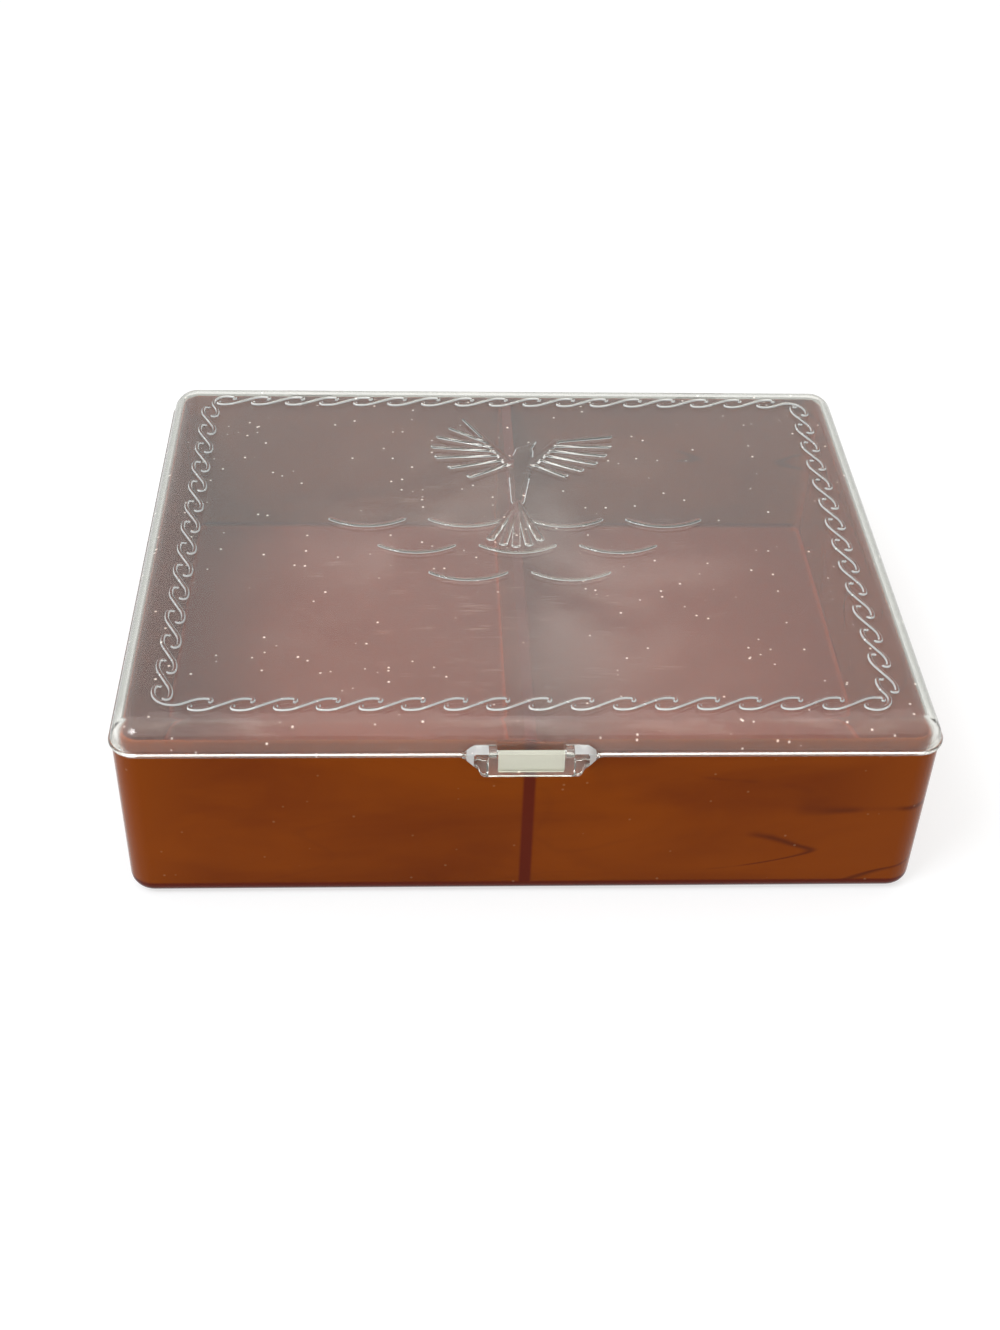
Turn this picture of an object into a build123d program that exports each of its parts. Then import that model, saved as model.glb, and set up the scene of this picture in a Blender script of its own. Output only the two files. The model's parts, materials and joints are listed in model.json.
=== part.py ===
"""Handkerchief box: an amber moulded tray with a divider, and a clear moulded lid hinged at the back.

The box stands on Z = 0, with +X to the right and the latch at the front, on -Y. The origin is the
middle of the underside of the tray. Sizes are millimetres.
"""

import math
import os

from build123d import *

os.makedirs("parts", exist_ok=True)

# Overall sizes in plan, over the lid's rim bead
lid_width = 170.0
lid_depth = 138.0

# Parting line: the height of the tray's ledge, and the small gap the closed lid keeps above it
ledge_height = 39.4
seat_gap = 0.1

# Lid shell, rolled over from a short straight skirt to its flat top
lid_height = 6.2
lid_wall = 1.5
skirt_straight = 0.7
corner_over_roll = 0.5
rim_bead_proud = 0.4
rim_bead_height = 1.1

# Tray shell
rim_overhang = 0.6
tray_floor = 2.0
wall_draft = 0.3
foot_radius = 3.0
floor_fillet = 1.2
pocket_corner_radius = 2.9

# Lip of the tray, which stands inside the lid's skirt
lip_gap = 0.5
lip_head_gap = 2.2
lip_thickness = 0.8
lip_chamfer = 0.5

# Divider between the two stacks
divider_thickness = 2.3
divider_below_lip = 0.4
divider_corner_radius = 0.8

# Latch tab on the lid: its outline from the front, and its shell
tab_proud = 2.4
tab_wall = 1.3
tab_above_rim = 2.85
tab_foot_width = 20.2
tab_waist_width = 22.2
tab_waist_below_rim = 1.0
tab_shoulder_width = 27.6
tab_face_width = 23.6
tab_foot_radius = 1.0
tab_shoulder_radius = 1.6
tab_face_radius = 0.9
tab_wall_gap = 0.3

# Latch: the window above the hook, the hook inside the tab, the catch bead on the tray
window_width = 14.0
window_into_skirt = 0.9
hook_height = 1.0
hook_above_foot = 0.75
hook_side_gap = 0.4
catch_width = 12.4
catch_height = 0.9
catch_proud = 0.5
catch_below_ledge = 0.4
latch_gap = 0.25

# Raised ripples on the lid: rows of arcs, each row towards the back with one arc more
ripple_front_count = 2
ripple_rows = 3
ripple_front_y = -13.8
ripple_row_gap = 10.4
ripple_pitch = 22.9
ripple_chord = 17.6
ripple_sag = 3.0
ripple_width = 1.4
ripple_height = 0.4

# Raised scroll border: one S-shaped stroke repeated along a line inside the rim, on all four sides
scroll_side_inset = 10.5
scroll_front_inset = 9.75
scroll_width = 1.04
scroll_straight = 4.7
scroll_slope = 28.0
scroll_bowl_radius = 5.8
scroll_bowl_turn = 38.0
scroll_curl_radius = 0.62
scroll_curl_turn = 170.0
scroll_front_count = 16
scroll_front_start = 12.25
scroll_side_count = 13
scroll_side_start = 9.6
scroll_overrun = 0.6

# The strokes that round the corners: turn of their first curl, then radius and straight run
scroll_left_corner = (165.0, 4.3, 1.6)
scroll_right_corner = (150.0, 3.3, 0.75)

# Raised bird above the ripples: its body, head and beak, then its wings from shoulder to wrist
bird_breast = ((2.0, 29.0), 3.4)
bird_rump = ((0.8, 14.0), 1.5)
bird_head = ((3.4, 36.2), 2.1)
bird_beak_tip = ((6.3, 40.2), 0.3)
bird_wings = {"left": ((-0.5, 30.5), (-6.0, 41.5)), "right": ((5.0, 30.5), (11.5, 40.5))}
bird_shoulder_radius = 1.6
bird_wrist_radius = 1.0
bird_feather_tips = {
    "left": [
        (-10.5, 50.5), (-14.0, 46.5), (-17.0, 42.5), (-18.4, 38.0), (-17.6, 33.5), (-14.5, 29.0),
        (-10.0, 25.0),
    ],
    "right": [(24.5, 43.0), (24.0, 38.5), (22.5, 34.5), (20.0, 31.0), (16.5, 28.0), (12.5, 25.5)],
}
bird_tail_tips = [(-6.0, -1.0), (-3.2, -3.0), (-0.4, -3.8), (2.6, -3.2), (5.2, -1.2)]
bird_quill_radius = 0.7
bird_feather_radius = 1.05

# Hinges: two stations on the back wall, each with two tray ears, one lid knuckle and one pin
hinge_spacing = 100.0
pin_radius = 0.8
pin_press = 0.01
pin_running_gap = 0.05
knuckle_radius = 2.2
knuckle_width = 10.0
knuckle_side_gap = 0.3
knuckle_wall_gap = 0.4
arm_above_rim = 1.9
ear_width = 2.5
ear_over_knuckle = 0.2
ear_below_ledge = 0.3
ear_gusset = 4.0
stop_gap = 0.4
stop_thickness = 1.3
stop_height = 2.4
stop_angle = 112.0

# Lid, worked out from the sizes above
rim_height = ledge_height + seat_gap
lid_roll_radius = lid_height - skirt_straight
skirt_corner_radius = lid_roll_radius + corner_over_roll
rim_corner_radius = skirt_corner_radius + rim_bead_proud
skirt_width = lid_width - 2 * rim_bead_proud
skirt_depth = lid_depth - 2 * rim_bead_proud
skirt_front = -skirt_depth / 2
skirt_middle = skirt_front + lid_wall / 2
hollow_height = lid_height - lid_wall
hollow_width = skirt_width - 2 * lid_wall
hollow_depth = skirt_depth - 2 * lid_wall
hollow_corner_radius = skirt_corner_radius - lid_wall
hollow_roll_radius = lid_roll_radius - lid_wall

# Tray, worked out
tray_width = lid_width - 2 * rim_overhang
tray_depth = lid_depth - 2 * rim_overhang
tray_corner_radius = rim_corner_radius - rim_overhang
tray_front = -tray_depth / 2
tray_back = tray_depth / 2
lip_width = hollow_width - 2 * lip_gap
lip_depth = hollow_depth - 2 * lip_gap
lip_corner_radius = hollow_corner_radius - lip_gap
lip_top = rim_height + hollow_height - lip_head_gap
lip_height = lip_top - ledge_height
pocket_height = lip_top - tray_floor
pocket_draft = wall_draft * pocket_height / ledge_height
pocket_wall = lip_width / 2 - lip_thickness - pocket_draft
pocket_floor_depth = lip_depth - 2 * lip_thickness - 2 * pocket_draft
divider_wall = divider_thickness / 2 + pocket_draft
draft_angle = math.degrees(math.atan(wall_draft / ledge_height))

# Latch, worked out
tab_face = skirt_front - tab_proud
tab_inner_face = tab_face + tab_wall
tab_back = tray_front - tab_wall_gap
tab_top = rim_height + tab_above_rim
tab_waist = rim_height - tab_waist_below_rim
catch_top = ledge_height - catch_below_ledge
catch_bottom = catch_top - catch_height
catch_face = tray_front - catch_proud
hook_face = catch_face - latch_gap
hook_top = catch_bottom - latch_gap
hook_bottom = hook_top - hook_height
tab_foot = hook_bottom - hook_above_foot

# Scroll border, worked out: its corners, and the pitch that fits its strokes between them
scroll_x = lid_width / 2 - scroll_side_inset
scroll_y = lid_depth / 2 - scroll_front_inset
scroll_front_pitch = (2 * scroll_x - scroll_front_start + scroll_overrun) / scroll_front_count
scroll_side_pitch = (2 * scroll_y - scroll_side_start + scroll_overrun) / scroll_side_count

# Hinge, worked out: the pin's axis, the lid's arm, and the stop that the arm lands on
ear_radius = knuckle_radius + ear_over_knuckle
hinge_y = tray_back + knuckle_wall_gap + knuckle_radius
hinge_z = ledge_height - ear_below_ledge - ear_radius
arm_front = hinge_y - knuckle_radius
arm_top = rim_height + arm_above_rim
ear_start = knuckle_width / 2 + knuckle_side_gap
station_width = 2 * (ear_start + ear_width)
stop_front = hinge_y + knuckle_radius + stop_gap
stop_back = stop_front + stop_thickness
stop_slope = math.tan(math.radians(stop_angle - 90))
stop_front_top = hinge_z - (stop_front - hinge_y) * stop_slope
stop_back_top = hinge_z - (stop_back - hinge_y) * stop_slope
stop_bottom = stop_back_top - stop_height
ear_foot = stop_bottom - ear_gusset
stations = {"left": -hinge_spacing / 2, "right": hinge_spacing / 2}

# The space in the right-hand pocket, which widens upwards by the draft of its walls
with BuildPart() as pocket:
    with BuildSketch(Plane.XY.offset(tray_floor)) as pocket_outline:
        with Locations(((pocket_wall + divider_wall) / 2, 0)):
            Rectangle(pocket_wall - divider_wall, pocket_floor_depth)
        fillet(pocket_outline.vertices().group_by(Axis.X)[-1], pocket_corner_radius)
        fillet(pocket_outline.vertices().group_by(Axis.X)[0], divider_corner_radius)
    extrude(amount=pocket_height)
    draft(pocket.faces().filter_by(Plane.XY, reverse=True), Plane.XY.offset(tray_floor), -draft_angle)
    fillet(pocket.faces().sort_by(Axis.Z)[0].edges(), floor_fillet)

# Tray: drafted block with a rounded foot, and the lip on top
with BuildPart() as base_tray:
    with BuildSketch():
        RectangleRounded(
            tray_width - 2 * wall_draft, tray_depth - 2 * wall_draft, tray_corner_radius - wall_draft
        )
    extrude(amount=ledge_height)
    draft(base_tray.faces().filter_by(Plane.XY, reverse=True), Plane.XY, -draft_angle)
    fillet(base_tray.faces().sort_by(Axis.Z)[0].edges(), foot_radius)
    with BuildSketch(Plane.XY.offset(ledge_height)):
        RectangleRounded(lip_width, lip_depth, lip_corner_radius)
    extrude(amount=lip_height)
    chamfer(base_tray.faces().sort_by(Axis.Z)[-1].edges(), lip_chamfer)

    # The two pockets, with the divider left between them
    add(pocket.part, mode=Mode.SUBTRACT)
    add(pocket.part.mirror(Plane.YZ), mode=Mode.SUBTRACT)

    # The divider's top, a little below the lip's
    with BuildSketch(Plane.XY.offset(lip_top - divider_below_lip)):
        Rectangle(
            divider_thickness + 2 * divider_corner_radius,
            lip_depth - 2 * lip_thickness - 2 * divider_corner_radius,
        )
    extrude(amount=divider_below_lip, mode=Mode.SUBTRACT)

    # The catch bead on the front wall, sloped above as a lead-in for the hook
    with BuildSketch(Plane.YZ.offset(-catch_width / 2)):
        with BuildLine():
            Polyline(
                (tray_front + wall_draft, catch_bottom),
                (catch_face, catch_bottom),
                (catch_face, catch_bottom + catch_height / 3),
                (tray_front + wall_draft, catch_top),
                close=True,
            )
        make_face()
    extrude(amount=catch_width)

    # The hinge ears, and behind each knuckle the web that stops the lid
    for station in stations.values():
        for ear_x in (station - ear_start - ear_width, station + ear_start):
            with BuildSketch(Plane.YZ.offset(ear_x)):
                with BuildLine():
                    Line((tray_back - wall_draft, hinge_z + ear_radius), (hinge_y, hinge_z + ear_radius))
                    ear_round = RadiusArc(
                        (hinge_y, hinge_z + ear_radius), (hinge_y + ear_radius, hinge_z), ear_radius
                    )
                    Polyline(
                        ear_round @ 1,
                        (stop_back, stop_back_top),
                        (stop_back, stop_bottom),
                        (tray_back - wall_draft, ear_foot),
                        (tray_back - wall_draft, hinge_z + ear_radius),
                    )
                make_face()
            extrude(amount=ear_width)
        with BuildSketch(Plane.YZ.offset(station - ear_start)):
            with BuildLine():
                Polyline(
                    (stop_front, stop_front_top),
                    (stop_back, stop_back_top),
                    (stop_back, stop_bottom),
                    (stop_front, stop_bottom),
                    close=True,
                )
            make_face()
        extrude(amount=2 * ear_start)
        with BuildSketch(Plane.YZ.offset(station - station_width / 2)):
            with Locations((hinge_y, hinge_z)):
                Circle(pin_radius - pin_press)
        extrude(amount=station_width, mode=Mode.SUBTRACT)

# Latch tab: its outline from the front, and its slanted cheeks as seen from above
with BuildPart() as latch_tab:
    with BuildSketch(Plane.XZ.offset(-tab_back)) as tab_outline:
        with BuildLine():
            FilletPolyline(
                (-tab_foot_width / 2, tab_foot),
                (tab_foot_width / 2, tab_foot),
                (tab_waist_width / 2, tab_waist),
                (tab_shoulder_width / 2, rim_height),
                (tab_shoulder_width / 2, tab_top),
                (-tab_shoulder_width / 2, tab_top),
                (-tab_shoulder_width / 2, rim_height),
                (-tab_waist_width / 2, tab_waist),
                radius=(
                    tab_foot_radius, tab_foot_radius, tab_shoulder_radius, 0, 0, 0, 0, tab_shoulder_radius
                ),
                close=True,
            )
        make_face()
    extrude(amount=tab_back - tab_face)
    with BuildSketch(Plane.XY.offset(rim_height)):
        with Locations((0, (skirt_middle + tab_back) / 2)):
            Rectangle(tab_shoulder_width, skirt_middle - tab_back)
    extrude(amount=tab_above_rim)
    with BuildSketch(Plane.XY.offset(tab_foot)):
        with BuildLine():
            FilletPolyline(
                (-tab_face_width / 2, tab_face),
                (tab_face_width / 2, tab_face),
                (tab_shoulder_width / 2, tab_back),
                (tab_shoulder_width / 2, skirt_middle),
                (-tab_shoulder_width / 2, skirt_middle),
                (-tab_shoulder_width / 2, tab_back),
                radius=(tab_face_radius, tab_face_radius, 0, 0, 0, 0),
                close=True,
            )
        make_face()
    extrude(amount=tab_top - tab_foot, mode=Mode.INTERSECT)

# The line of one ripple, bowed towards the front
with BuildLine() as ripple:
    SagittaArc((-ripple_chord / 2, 0), (ripple_chord / 2, 0), -ripple_sag)

# One stroke of the scroll border, drawn from its middle outwards, and its curl at each end
with BuildLine() as wave:
    for heading in (scroll_slope, scroll_slope + 180):
        straight = PolarLine((0, 0), scroll_straight / 2, heading)
        bowl = JernArc(straight @ 1, straight % 1, scroll_bowl_radius, -scroll_bowl_turn)
        curl = JernArc(bowl @ 1, bowl % 1, scroll_curl_radius, -scroll_curl_turn)
curl_tip = curl @ 1


def corner_wave(first_turn, radius, straight):
    """The stroke that turns the corner to the left, drawn with the corner at the origin."""
    with BuildLine() as line:
        first = JernArc(curl_tip + Vector(scroll_overrun, 0), (-1, 0), scroll_curl_radius, first_turn)
        bend = JernArc(first @ 1, first % 1, radius, 270 + scroll_slope - first_turn)
        run = Line(bend @ 1, bend @ 1 + bend % 1 * straight)
        crest = JernArc(run @ 1, run % 1, scroll_bowl_radius, -scroll_bowl_turn)
        JernArc(crest @ 1, crest % 1, scroll_curl_radius, -scroll_curl_turn)
    return line.wire()


def tapered(start, end):
    """A flat shape round two (centre, radius) circles."""
    with BuildSketch() as shape:
        for centre, radius in (start, end):
            with Locations(centre):
                Circle(radius)
        make_hull()
    return shape.sketch


# Half of the scroll border: the front, the right side, and the corners before each
with BuildSketch() as half_border:
    for index in range(scroll_front_count):
        with Locations((-scroll_x + scroll_front_start + index * scroll_front_pitch, -scroll_y)):
            SlotArc(wave.wire(), scroll_width)
    for index in range(scroll_side_count):
        with Locations(Location((scroll_x, -scroll_y + scroll_side_start + index * scroll_side_pitch), 90)):
            SlotArc(wave.wire(), scroll_width)
    with Locations(Location((-scroll_x, -scroll_y), -90)):
        SlotArc(corner_wave(*scroll_left_corner), scroll_width)
    with Locations((scroll_x, -scroll_y)):
        SlotArc(corner_wave(*scroll_right_corner), scroll_width)

# The bird: a body, and feathers spread from each wing's arm and from the rump
with BuildSketch() as bird:
    add(tapered(bird_breast, bird_rump))
    add(tapered(bird_breast, bird_head))
    add(tapered(bird_head, bird_beak_tip))
    for side, (shoulder, wrist) in bird_wings.items():
        add(tapered((shoulder, bird_shoulder_radius), (wrist, bird_wrist_radius)))
        tips = bird_feather_tips[side]
        for index, tip in enumerate(tips):
            root = Vector(wrist) + (Vector(shoulder) - Vector(wrist)) * index / (len(tips) - 1)
            add(tapered((root, bird_quill_radius), (tip, bird_feather_radius)))
    for tip in bird_tail_tips:
        add(tapered((bird_rump[0], bird_quill_radius), (tip, bird_feather_radius)))

# The space inside the lid, one wall in from its outside
with BuildPart() as lid_hollow:
    with BuildSketch(Plane.XY.offset(rim_height)):
        RectangleRounded(hollow_width, hollow_depth, hollow_corner_radius)
    extrude(amount=hollow_height)
    fillet(lid_hollow.faces().sort_by(Axis.Z)[-1].edges(), hollow_roll_radius)

# Lid: rolled shell with a bead round its rim, the latch tab, and a knuckle at each hinge station
with BuildPart() as lid:
    with BuildSketch(Plane.XY.offset(rim_height)):
        RectangleRounded(skirt_width, skirt_depth, skirt_corner_radius)
    extrude(amount=lid_height)
    fillet(lid.faces().sort_by(Axis.Z)[-1].edges(), lid_roll_radius)
    with BuildSketch(Plane.XY.offset(rim_height)):
        RectangleRounded(lid_width, lid_depth, rim_corner_radius)
    extrude(amount=rim_bead_height)
    add(lid_hollow.part, mode=Mode.SUBTRACT)
    add(latch_tab.part)

    # The ornament, standing on the flat top
    with BuildSketch(Plane.XY.offset(rim_height + lid_height)):
        add(half_border.sketch)
        add(half_border.sketch.rotate(Axis.Z, 180))
        add(bird.sketch)
        for row in range(ripple_rows):
            with Locations((0, ripple_front_y + row * ripple_row_gap)):
                with GridLocations(ripple_pitch, 0, ripple_front_count + row, 1):
                    SlotArc(ripple.wire(), ripple_width)
    extrude(amount=ripple_height)

    # The tab's hollow, open below, and the window above the hook
    with BuildSketch(Plane.XZ.offset(-skirt_front)):
        add(tab_outline.sketch_local)
        offset(amount=-tab_wall, mode=Mode.REPLACE)
        with Locations((0, tab_foot + tab_wall)):
            Rectangle(tab_foot_width - 2 * tab_wall, 2 * tab_wall)
    extrude(amount=skirt_front - tab_inner_face, mode=Mode.SUBTRACT)
    with BuildSketch(Plane.XY.offset(rim_height)):
        with Locations((0, (tab_inner_face + skirt_front + window_into_skirt) / 2)):
            Rectangle(window_width, skirt_front + window_into_skirt - tab_inner_face)
    extrude(amount=lid_height, mode=Mode.SUBTRACT)
    with BuildSketch(Plane.XY.offset(hook_bottom)):
        with Locations((0, (tab_inner_face + hook_face) / 2)):
            Rectangle(window_width - 2 * hook_side_gap, hook_face - tab_inner_face)
    extrude(amount=hook_height)

    # The hinge arms, hanging from the rim to a round knuckle on the pin's axis
    for station in stations.values():
        with BuildSketch(Plane.YZ.offset(station - knuckle_width / 2)):
            with BuildLine():
                Polyline(
                    (arm_front, hinge_z),
                    (arm_front, rim_height),
                    (-skirt_middle, rim_height),
                    (-skirt_middle, arm_top),
                    (hinge_y, arm_top),
                    (hinge_y, hinge_z),
                    close=True,
                )
            make_face()
            with Locations((hinge_y, hinge_z)):
                Circle(knuckle_radius)
                Circle(pin_radius + pin_running_gap, mode=Mode.SUBTRACT)
        extrude(amount=knuckle_width)

base_tray.part.label = "base_tray"
export_step(base_tray.part, "parts/base_tray.step")
lid.part.label = "lid"
export_step(lid.part, "parts/lid.step")

# Hinge pins: cut wire, pressed into the ears and running in the lid's knuckles
for side, station in stations.items():
    with BuildPart() as hinge_pin:
        with BuildSketch(Plane.YZ.offset(station - station_width / 2)):
            with Locations((hinge_y, hinge_z)):
                Circle(pin_radius)
        extrude(amount=station_width)
    hinge_pin.part.label = f"hinge_pin_{side}"
    export_step(hinge_pin.part, f"parts/hinge_pin_{side}.step")
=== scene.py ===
"""Handkerchief box: an amber moulded tray and a clear hinged lid with raised ornament, in metres."""

import json
import math

import bmesh
import bpy
from mathutils import Matrix, Vector
from mathutils.geometry import interpolate_bezier


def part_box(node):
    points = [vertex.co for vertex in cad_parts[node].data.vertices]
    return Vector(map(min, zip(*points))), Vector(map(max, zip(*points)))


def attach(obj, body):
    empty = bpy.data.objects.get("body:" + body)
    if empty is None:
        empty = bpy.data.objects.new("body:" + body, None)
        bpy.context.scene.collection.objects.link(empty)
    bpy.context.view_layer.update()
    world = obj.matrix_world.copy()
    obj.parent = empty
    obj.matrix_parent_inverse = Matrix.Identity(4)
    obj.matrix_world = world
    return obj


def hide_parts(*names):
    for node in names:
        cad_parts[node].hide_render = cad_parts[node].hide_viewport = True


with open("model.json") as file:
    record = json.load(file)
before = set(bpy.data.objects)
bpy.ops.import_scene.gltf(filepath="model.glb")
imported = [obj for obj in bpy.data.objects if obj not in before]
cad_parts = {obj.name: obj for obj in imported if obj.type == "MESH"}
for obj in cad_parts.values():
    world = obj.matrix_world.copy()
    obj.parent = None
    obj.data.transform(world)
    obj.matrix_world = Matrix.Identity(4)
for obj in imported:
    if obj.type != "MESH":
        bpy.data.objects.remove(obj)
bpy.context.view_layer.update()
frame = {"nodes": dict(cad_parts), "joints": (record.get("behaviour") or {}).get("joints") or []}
scene = bpy.context.scene
scene.view_settings.view_transform = "Standard"


def add_node(tree, kind, inputs=None, **settings):
    """A new node with its settings, and its inputs set to values or linked from sockets."""
    node = tree.nodes.new(kind)
    for name, value in settings.items():
        setattr(node, name, value)
    for name, value in (inputs or {}).items():
        if isinstance(value, bpy.types.NodeSocket):
            tree.links.new(value, node.inputs[name])
        else:
            node.inputs[name].default_value = value
    return node


# The camera stands in front of the box, a little left of its middle, and looks down on it. It is
# turned slightly to the right and tilted by two degrees, as the photograph is.
camera_place = Vector((-0.02305, -0.3334, 0.2784))
camera_yaw = math.radians(3.477)
camera_pitch = math.radians(39.03)
camera_roll = math.radians(2.136)
camera_lens = 48.04
camera_near = 0.01

camera = bpy.data.objects.new("camera", bpy.data.cameras.new("camera"))
camera.data.lens = camera_lens
camera.data.clip_start = camera_near
camera.matrix_world = (
    Matrix.Translation(camera_place)
    @ Matrix.Rotation(-camera_yaw, 4, "Z")
    @ Matrix.Rotation(math.pi / 2 - camera_pitch, 4, "X")
    @ Matrix.Rotation(camera_roll, 4, "Z")
)
scene.collection.objects.link(camera)
scene.camera = camera

# The surround: white to the eye, in gloss and through glass, and a softer grey as light. A wide soft
# lamp hangs overhead, and a smaller cool one stands high at the front left, like a window. The pale
# floor lies just under the box and takes its shadow.
surround_light = 0.55
plain_white = (1.0, 1.0, 1.0, 1.0)
lamps = {
    "overhead": {"place": (0.0, 0.0, 1.1), "size": 2.2, "power": 12.5, "color": (1.0, 0.98, 0.95)},
    "window": {"place": (-0.48, -0.41, 0.9), "size": 0.36, "power": 5.5, "color": (0.88, 0.94, 1.0)},
}
lamp_target = Vector((0.0, 0.0, 0.03))
floor_half_size = 3.0
floor_drop = 0.0002
floor_white = (0.86, 0.86, 0.855, 1.0)
floor_glow = 1.1
floor_glow_share = 0.6


def maths(tree, operation, first, second=0.0, **settings):
    """One step of maths in nodes. Each term is a number or a socket."""
    terms = {0: first, 1: second}
    return add_node(tree, "ShaderNodeMath", terms, operation=operation, **settings).outputs[0]


def seen_rays(tree):
    """A mask of the rays that show the background: to the eye, in gloss and through glass."""
    ray = add_node(tree, "ShaderNodeLightPath")
    mask = ray.outputs["Is Camera Ray"]
    for kind in ("Is Glossy Ray", "Is Transmission Ray"):
        mask = maths(tree, "MAXIMUM", mask, ray.outputs[kind])
    return mask


def empty_nodes(owner):
    """The emptied node tree of a world or a material."""
    owner.use_nodes = True
    owner.node_tree.nodes.clear()
    return owner.node_tree


def blended(tree, mask, low, high):
    """Goes from one shader to another with a mask."""
    shaders = {"Fac": mask, 1: low.outputs[0], 2: high.outputs[0]}
    return add_node(tree, "ShaderNodeMixShader", shaders).outputs[0]


world = bpy.data.worlds.new("surround")
scene.world = world
sky = empty_nodes(world)
soft_light = add_node(sky, "ShaderNodeBackground", {"Color": plain_white, "Strength": surround_light})
white = add_node(sky, "ShaderNodeBackground", {"Color": plain_white, "Strength": 1.0})
add_node(
    sky, "ShaderNodeOutputWorld", {"Surface": blended(sky, seen_rays(sky), soft_light, white)}
)

for name, values in lamps.items():
    light = bpy.data.lights.new(name, "AREA")
    light.size = values["size"]
    light.energy = values["power"]
    light.color = values["color"]
    lamp = bpy.data.objects.new(name, light)
    lamp.location = values["place"]
    lamp.rotation_euler = (lamp_target - Vector(values["place"])).to_track_quat("-Z", "Y").to_euler()
    scene.collection.objects.link(lamp)

floor_mesh = bpy.data.meshes.new("floor")
floor_corners = [(-1, -1), (1, -1), (1, 1), (-1, 1)]
floor_points = [(x * floor_half_size, y * floor_half_size, -floor_drop) for x, y in floor_corners]
floor_mesh.from_pydata(floor_points, [], [(0, 1, 2, 3)])
floor = bpy.data.objects.new("floor", floor_mesh)
scene.collection.objects.link(floor)
floor_paint = bpy.data.materials.new("floor paint")
paint = empty_nodes(floor_paint)
matt = add_node(paint, "ShaderNodeBsdfDiffuse", {"Color": floor_white})
glow = add_node(paint, "ShaderNodeEmission", {"Color": plain_white, "Strength": floor_glow})
glow_share = maths(paint, "MULTIPLY", seen_rays(paint), floor_glow_share)
add_node(paint, "ShaderNodeOutputMaterial", {"Surface": blended(paint, glow_share, matt, glow)})
floor_mesh.materials.append(floor_paint)

# Base tray: one moulding of translucent amber polystyrene, with a divider down its middle. The melt
# has left faint cloudy patches and darker swirling flow marks in the walls.
smooth_angle = math.radians(40)
flat_angle = math.radians(0.3)
weld_distance = 1e-6
largest_face_weight = 100


def finish_mesh(name, mesh):
    """An object whose mesh is smooth over rounds, sharp at edges and flat on its flat faces."""
    mesh.shade_smooth()
    mesh.set_sharp_from_angle(angle=smooth_angle)
    piece = bpy.data.objects.new(name, mesh)
    scene.collection.objects.link(piece)
    weights = piece.modifiers.new("flat faces first", "WEIGHTED_NORMAL")
    weights.mode = "FACE_AREA"
    weights.keep_sharp = True
    weights.weight = largest_face_weight
    shown = piece.evaluated_get(bpy.context.evaluated_depsgraph_get())
    piece.data = bpy.data.meshes.new_from_object(shown)
    piece.modifiers.clear()
    return piece


merged = bmesh.new()
merged.from_mesh(frame["nodes"]["base_tray"].data)
bmesh.ops.remove_doubles(merged, verts=merged.verts, dist=weld_distance)
bmesh.ops.dissolve_limit(merged, angle_limit=flat_angle, verts=merged.verts, edges=merged.edges)
tray_mesh = bpy.data.meshes.new("amber_tray")
merged.to_mesh(tray_mesh)
merged.free()

# Marks of use, shared by both plastics: fine scratches in three directions, patches rubbed dull, and
# specks of dust. A group of nodes gives them as masks, each with its own amount.
mark_names = ("Scratches", "Scuffs", "Dust")
scratch_pattern = (1.0, 1.0)
scratch_courses = ((17, 1.0), (74, 5.0), (139, 9.0))
scratch_stretch = (105.0, 1150.0, 105.0)
scratch_range = (0.7, 0.78)
scuff_pattern = {"Scale": 34.0, "Detail": 5.0, "Roughness": 0.62}
scuff_range = (0.38, 0.75)
dust_scale = 420.0
dust_radius = (0.05, 0.16)
dust_chance = 0.16


def noise(tree, place, scale, detail, distortion=0.0):
    """A noise over a place, from 0 to 1."""
    values = {"Vector": place, "Scale": scale, "Detail": detail, "Distortion": distortion}
    return add_node(tree, "ShaderNodeTexNoise", values).outputs["Fac"]


def ramp(tree, value, low, high, start=0.0, end=1.0, **settings):
    """Goes from start to end while a value goes from low to high."""
    limits = {"Value": value, "From Min": low, "From Max": high, "To Min": start, "To Max": end}
    return add_node(tree, "ShaderNodeMapRange", limits, **settings).outputs[0]


marks = bpy.data.node_groups.new("marks of use", "ShaderNodeTree")
marks.interface.new_socket("Place", in_out="INPUT", socket_type="NodeSocketVector")
for name in mark_names:
    for in_out in ("INPUT", "OUTPUT"):
        marks.interface.new_socket(name, in_out=in_out, socket_type="NodeSocketFloat")
given = add_node(marks, "NodeGroupInput")
marks_out = add_node(marks, "NodeGroupOutput")
place = given.outputs["Place"]

scratch_lines = 0.0
for angle, offset in scratch_courses:
    course = {
        "Vector": place,
        "Location": (offset, offset, 0.0),
        "Rotation": (0.0, 0.0, math.radians(angle)),
        "Scale": scratch_stretch,
    }
    stretched = add_node(marks, "ShaderNodeMapping", course).outputs[0]
    streaks = noise(marks, stretched, *scratch_pattern)
    scratch_lines = maths(marks, "MAXIMUM", scratch_lines, ramp(marks, streaks, *scratch_range))
rubbed = add_node(marks, "ShaderNodeTexNoise", {"Vector": place, **scuff_pattern})
rubbed_share = ramp(marks, rubbed.outputs["Fac"], *scuff_range)
flecks = add_node(marks, "ShaderNodeTexVoronoi", {"Vector": place, "Scale": dust_scale})
fleck = ramp(marks, flecks.outputs["Distance"], *dust_radius, 1.0, 0.0)
pick = add_node(marks, "ShaderNodeSeparateColor", {"Color": flecks.outputs["Color"]}).outputs[0]
few_flecks = maths(marks, "MULTIPLY", fleck, maths(marks, "GREATER_THAN", pick, 1 - dust_chance))
for name, mask in zip(mark_names, (scratch_lines, rubbed_share, few_flecks)):
    marks.links.new(maths(marks, "MULTIPLY", mask, given.outputs[name]), marks_out.inputs[name])


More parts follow.
